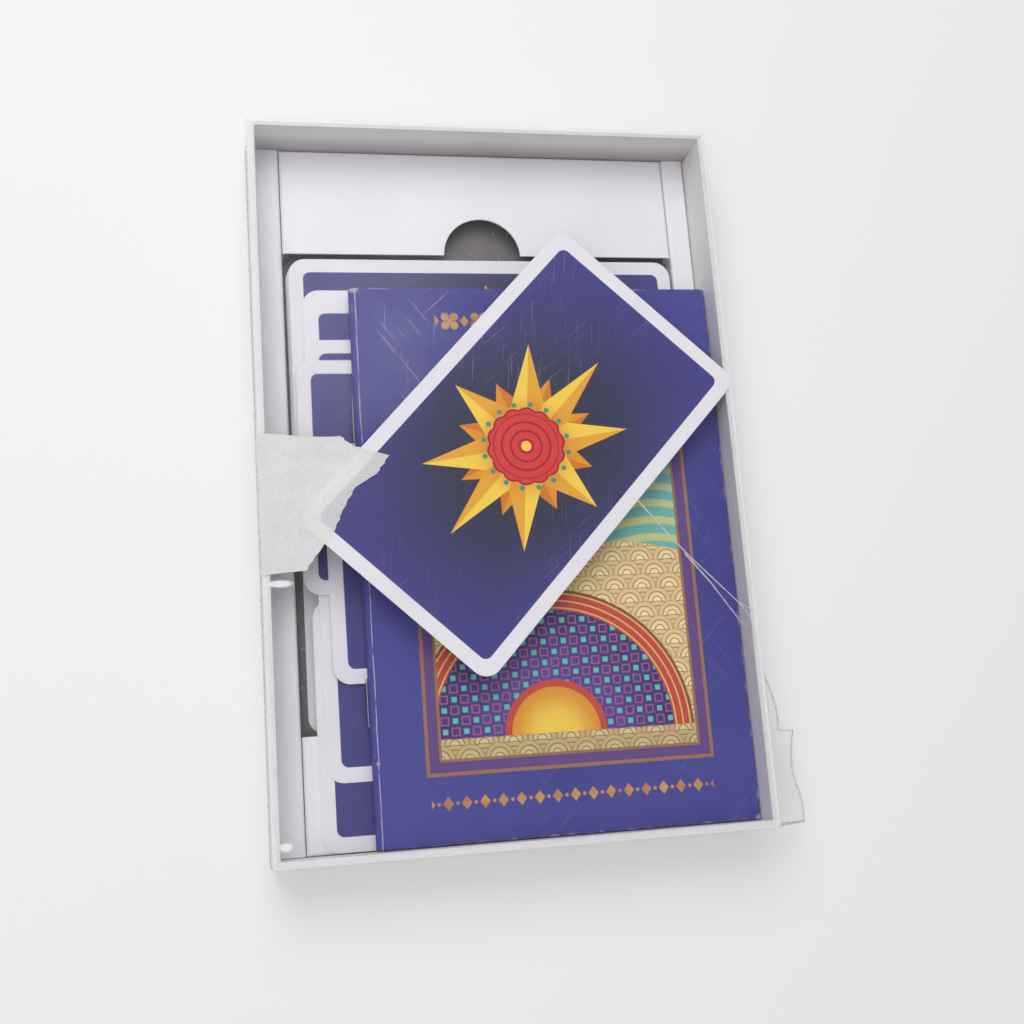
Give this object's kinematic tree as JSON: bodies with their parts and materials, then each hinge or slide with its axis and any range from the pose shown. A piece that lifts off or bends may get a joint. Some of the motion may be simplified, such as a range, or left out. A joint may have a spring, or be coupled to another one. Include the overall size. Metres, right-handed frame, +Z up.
{
  "type": "boxed tarot card deck",
  "caption": "Shallow white tray under a clear film lid, holding loose landscape tarot cards between folded spacers with a stapled booklet on top and a card taped to the lid.",
  "frame": {"origin": "centre of the tray's back face, on the surface it lies on", "axes": "+X across the tray towards the booklet's free edge, +Y along the tray towards the spacer with the thumb notch, +Z up out of the tray"},
  "size_m": [0.1423, 0.2144, 0.0226],
  "materials": {
    "tray_board": "white lined board, matt",
    "spacer_board": "white folded card, matt",
    "clear_film": "clear film, glossy, scratched",
    "printed_card": "coated printed card, satin",
    "masking_tape": "creped paper tape, matt",
    "printed_cover": "laminated printed card, glossy",
    "page_paper": "uncoated paper, matt",
    "staple_wire": "bright wire"
  },
  "bodies": {
    "tray": {"tray": "tray_board", "left_spacer": "spacer_board", "right_spacer": "spacer_board", "top_spacer": "spacer_board", "bottom_spacer": "spacer_board"},
    "lid": {"lid": "clear_film", "sample_card": "printed_card", "masking_tape": "masking_tape"},
    "booklet": {"booklet_back_cover": "printed_cover", "booklet_staples": "staple_wire", "page_back_1": "page_paper", "page_back_2": "page_paper", "page_back_3": "page_paper", "page_back_4": "page_paper", "page_back_5": "page_paper", "page_back_6": "page_paper"},
    "front_cover": {"booklet_front_cover": "printed_cover"},
    "page_1": {"page_front_1": "page_paper"},
    "page_2": {"page_front_2": "page_paper"},
    "page_3": {"page_front_3": "page_paper"},
    "page_4": {"page_front_4": "page_paper"},
    "page_5": {"page_front_5": "page_paper"},
    "page_6": {"page_front_6": "page_paper"},
    "card_01": {"card_01": "printed_card"},
    "card_02": {"card_02": "printed_card"},
    "card_03": {"card_03": "printed_card"},
    "card_04": {"card_04": "printed_card"},
    "card_05": {"card_05": "printed_card"},
    "card_06": {"card_06": "printed_card"},
    "card_07": {"card_07": "printed_card"},
    "card_08": {"card_08": "printed_card"},
    "card_09": {"card_09": "printed_card"},
    "card_10": {"card_10": "printed_card"},
    "card_11": {"card_11": "printed_card"},
    "card_12": {"card_12": "printed_card"},
    "card_13": {"card_13": "printed_card"},
    "card_14": {"card_14": "printed_card"},
    "card_15": {"card_15": "printed_card"},
    "card_16": {"card_16": "printed_card"},
    "card_17": {"card_17": "printed_card"},
    "card_18": {"card_18": "printed_card"},
    "card_19": {"card_19": "printed_card"},
    "card_20": {"card_20": "printed_card"},
    "card_21": {"card_21": "printed_card"}
  },
  "joints": [
    {"name": "lid_lift", "type": "slide", "parent": "tray", "child": "lid", "axis": [0, 0, 1], "range_m": [0, 0.4]},
    {"name": "booklet_lift", "type": "slide", "parent": "tray", "child": "booklet", "axis": [0, 0, 1], "range_m": [0, 0.1]},
    {"name": "cover_turn", "type": "hinge", "parent": "booklet", "child": "front_cover", "pos_m": [-0.04061, 0, 0.0127], "axis": [0, -1, 0], "range_deg": [0, 160]},
    {"name": "page_1_turn", "type": "hinge", "parent": "booklet", "child": "page_1", "pos_m": [-0.04061, 0, 0.0127], "axis": [0, -1, 0], "range_deg": [0, 154]},
    {"name": "page_2_turn", "type": "hinge", "parent": "booklet", "child": "page_2", "pos_m": [-0.04061, 0, 0.0127], "axis": [0, -1, 0], "range_deg": [0, 148]},
    {"name": "page_3_turn", "type": "hinge", "parent": "booklet", "child": "page_3", "pos_m": [-0.04061, 0, 0.0127], "axis": [0, -1, 0], "range_deg": [0, 142]},
    {"name": "page_4_turn", "type": "hinge", "parent": "booklet", "child": "page_4", "pos_m": [-0.04061, 0, 0.0127], "axis": [0, -1, 0], "range_deg": [0, 136]},
    {"name": "page_5_turn", "type": "hinge", "parent": "booklet", "child": "page_5", "pos_m": [-0.04061, 0, 0.0127], "axis": [0, -1, 0], "range_deg": [0, 130]},
    {"name": "page_6_turn", "type": "hinge", "parent": "booklet", "child": "page_6", "pos_m": [-0.04061, 0, 0.0127], "axis": [0, -1, 0], "range_deg": [0, 124]},
    {"name": "card_01_lift", "type": "slide", "parent": "tray", "child": "card_01", "axis": [0, 0, 1], "range_m": [0, 0.003]},
    {"name": "card_02_lift", "type": "slide", "parent": "tray", "child": "card_02", "axis": [0, 0, 1], "range_m": [0, 0.006]},
    {"name": "card_03_lift", "type": "slide", "parent": "tray", "child": "card_03", "axis": [0, 0, 1], "range_m": [0, 0.003]},
    {"name": "card_04_lift", "type": "slide", "parent": "tray", "child": "card_04", "axis": [0, 0, 1], "range_m": [0, 0.006]},
    {"name": "card_05_lift", "type": "slide", "parent": "tray", "child": "card_05", "axis": [0, 0, 1], "range_m": [0, 0.009]},
    {"name": "card_06_lift", "type": "slide", "parent": "tray", "child": "card_06", "axis": [0, 0, 1], "range_m": [0, 0.012]},
    {"name": "card_07_lift", "type": "slide", "parent": "tray", "child": "card_07", "axis": [0, 0, 1], "range_m": [0, 0.015]},
    {"name": "card_08_lift", "type": "slide", "parent": "tray", "child": "card_08", "axis": [0, 0, 1], "range_m": [0, 0.018]},
    {"name": "card_09_lift", "type": "slide", "parent": "tray", "child": "card_09", "axis": [0, 0, 1], "range_m": [0, 0.021]},
    {"name": "card_10_lift", "type": "slide", "parent": "tray", "child": "card_10", "axis": [0, 0, 1], "range_m": [0, 0.024]},
    {"name": "card_11_lift", "type": "slide", "parent": "tray", "child": "card_11", "axis": [0, 0, 1], "range_m": [0, 0.027]},
    {"name": "card_12_lift", "type": "slide", "parent": "tray", "child": "card_12", "axis": [0, 0, 1], "range_m": [0, 0.03]},
    {"name": "card_13_lift", "type": "slide", "parent": "tray", "child": "card_13", "axis": [0, 0, 1], "range_m": [0, 0.033]},
    {"name": "card_14_lift", "type": "slide", "parent": "tray", "child": "card_14", "axis": [0, 0, 1], "range_m": [0, 0.036]},
    {"name": "card_15_lift", "type": "slide", "parent": "tray", "child": "card_15", "axis": [0, 0, 1], "range_m": [0, 0.039]},
    {"name": "card_16_lift", "type": "slide", "parent": "tray", "child": "card_16", "axis": [0, 0, 1], "range_m": [0, 0.039]},
    {"name": "card_17_lift", "type": "slide", "parent": "tray", "child": "card_17", "axis": [0, 0, 1], "range_m": [0, 0.042]},
    {"name": "card_18_lift", "type": "slide", "parent": "tray", "child": "card_18", "axis": [0, 0, 1], "range_m": [0, 0.042]},
    {"name": "card_19_lift", "type": "slide", "parent": "tray", "child": "card_19", "axis": [0, 0, 1], "range_m": [0, 0.045]},
    {"name": "card_20_lift", "type": "slide", "parent": "tray", "child": "card_20", "axis": [0, 0, 1], "range_m": [0, 0.048]},
    {"name": "card_21_lift", "type": "slide", "parent": "tray", "child": "card_21", "axis": [0, 0, 1], "range_m": [0, 0.051]}
  ],
  "couplings": [
    {"joint": "booklet_lift", "follows": "lid_lift", "ratio": 0.25},
    {"joint": "cover_turn", "follows": "lid_lift", "rad_per_m": 6.9813},
    {"joint": "page_1_turn", "follows": "lid_lift", "rad_per_m": 6.7195},
    {"joint": "page_2_turn", "follows": "lid_lift", "rad_per_m": 6.4577},
    {"joint": "page_3_turn", "follows": "lid_lift", "rad_per_m": 6.1959},
    {"joint": "page_4_turn", "follows": "lid_lift", "rad_per_m": 5.9341},
    {"joint": "page_5_turn", "follows": "lid_lift", "rad_per_m": 5.6723},
    {"joint": "page_6_turn", "follows": "lid_lift", "rad_per_m": 5.4105},
    {"joint": "card_01_lift", "follows": "lid_lift", "ratio": 0.0075},
    {"joint": "card_02_lift", "follows": "lid_lift", "ratio": 0.015},
    {"joint": "card_03_lift", "follows": "lid_lift", "ratio": 0.0075},
    {"joint": "card_04_lift", "follows": "lid_lift", "ratio": 0.015},
    {"joint": "card_05_lift", "follows": "lid_lift", "ratio": 0.0225},
    {"joint": "card_06_lift", "follows": "lid_lift", "ratio": 0.03},
    {"joint": "card_07_lift", "follows": "lid_lift", "ratio": 0.0375},
    {"joint": "card_08_lift", "follows": "lid_lift", "ratio": 0.045},
    {"joint": "card_09_lift", "follows": "lid_lift", "ratio": 0.0525},
    {"joint": "card_10_lift", "follows": "lid_lift", "ratio": 0.06},
    {"joint": "card_11_lift", "follows": "lid_lift", "ratio": 0.0675},
    {"joint": "card_12_lift", "follows": "lid_lift", "ratio": 0.075},
    {"joint": "card_13_lift", "follows": "lid_lift", "ratio": 0.0825},
    {"joint": "card_14_lift", "follows": "lid_lift", "ratio": 0.09},
    {"joint": "card_15_lift", "follows": "lid_lift", "ratio": 0.0975},
    {"joint": "card_16_lift", "follows": "lid_lift", "ratio": 0.0975},
    {"joint": "card_17_lift", "follows": "lid_lift", "ratio": 0.105},
    {"joint": "card_18_lift", "follows": "lid_lift", "ratio": 0.105},
    {"joint": "card_19_lift", "follows": "lid_lift", "ratio": 0.1125},
    {"joint": "card_20_lift", "follows": "lid_lift", "ratio": 0.12},
    {"joint": "card_21_lift", "follows": "lid_lift", "ratio": 0.1275}
  ]
}
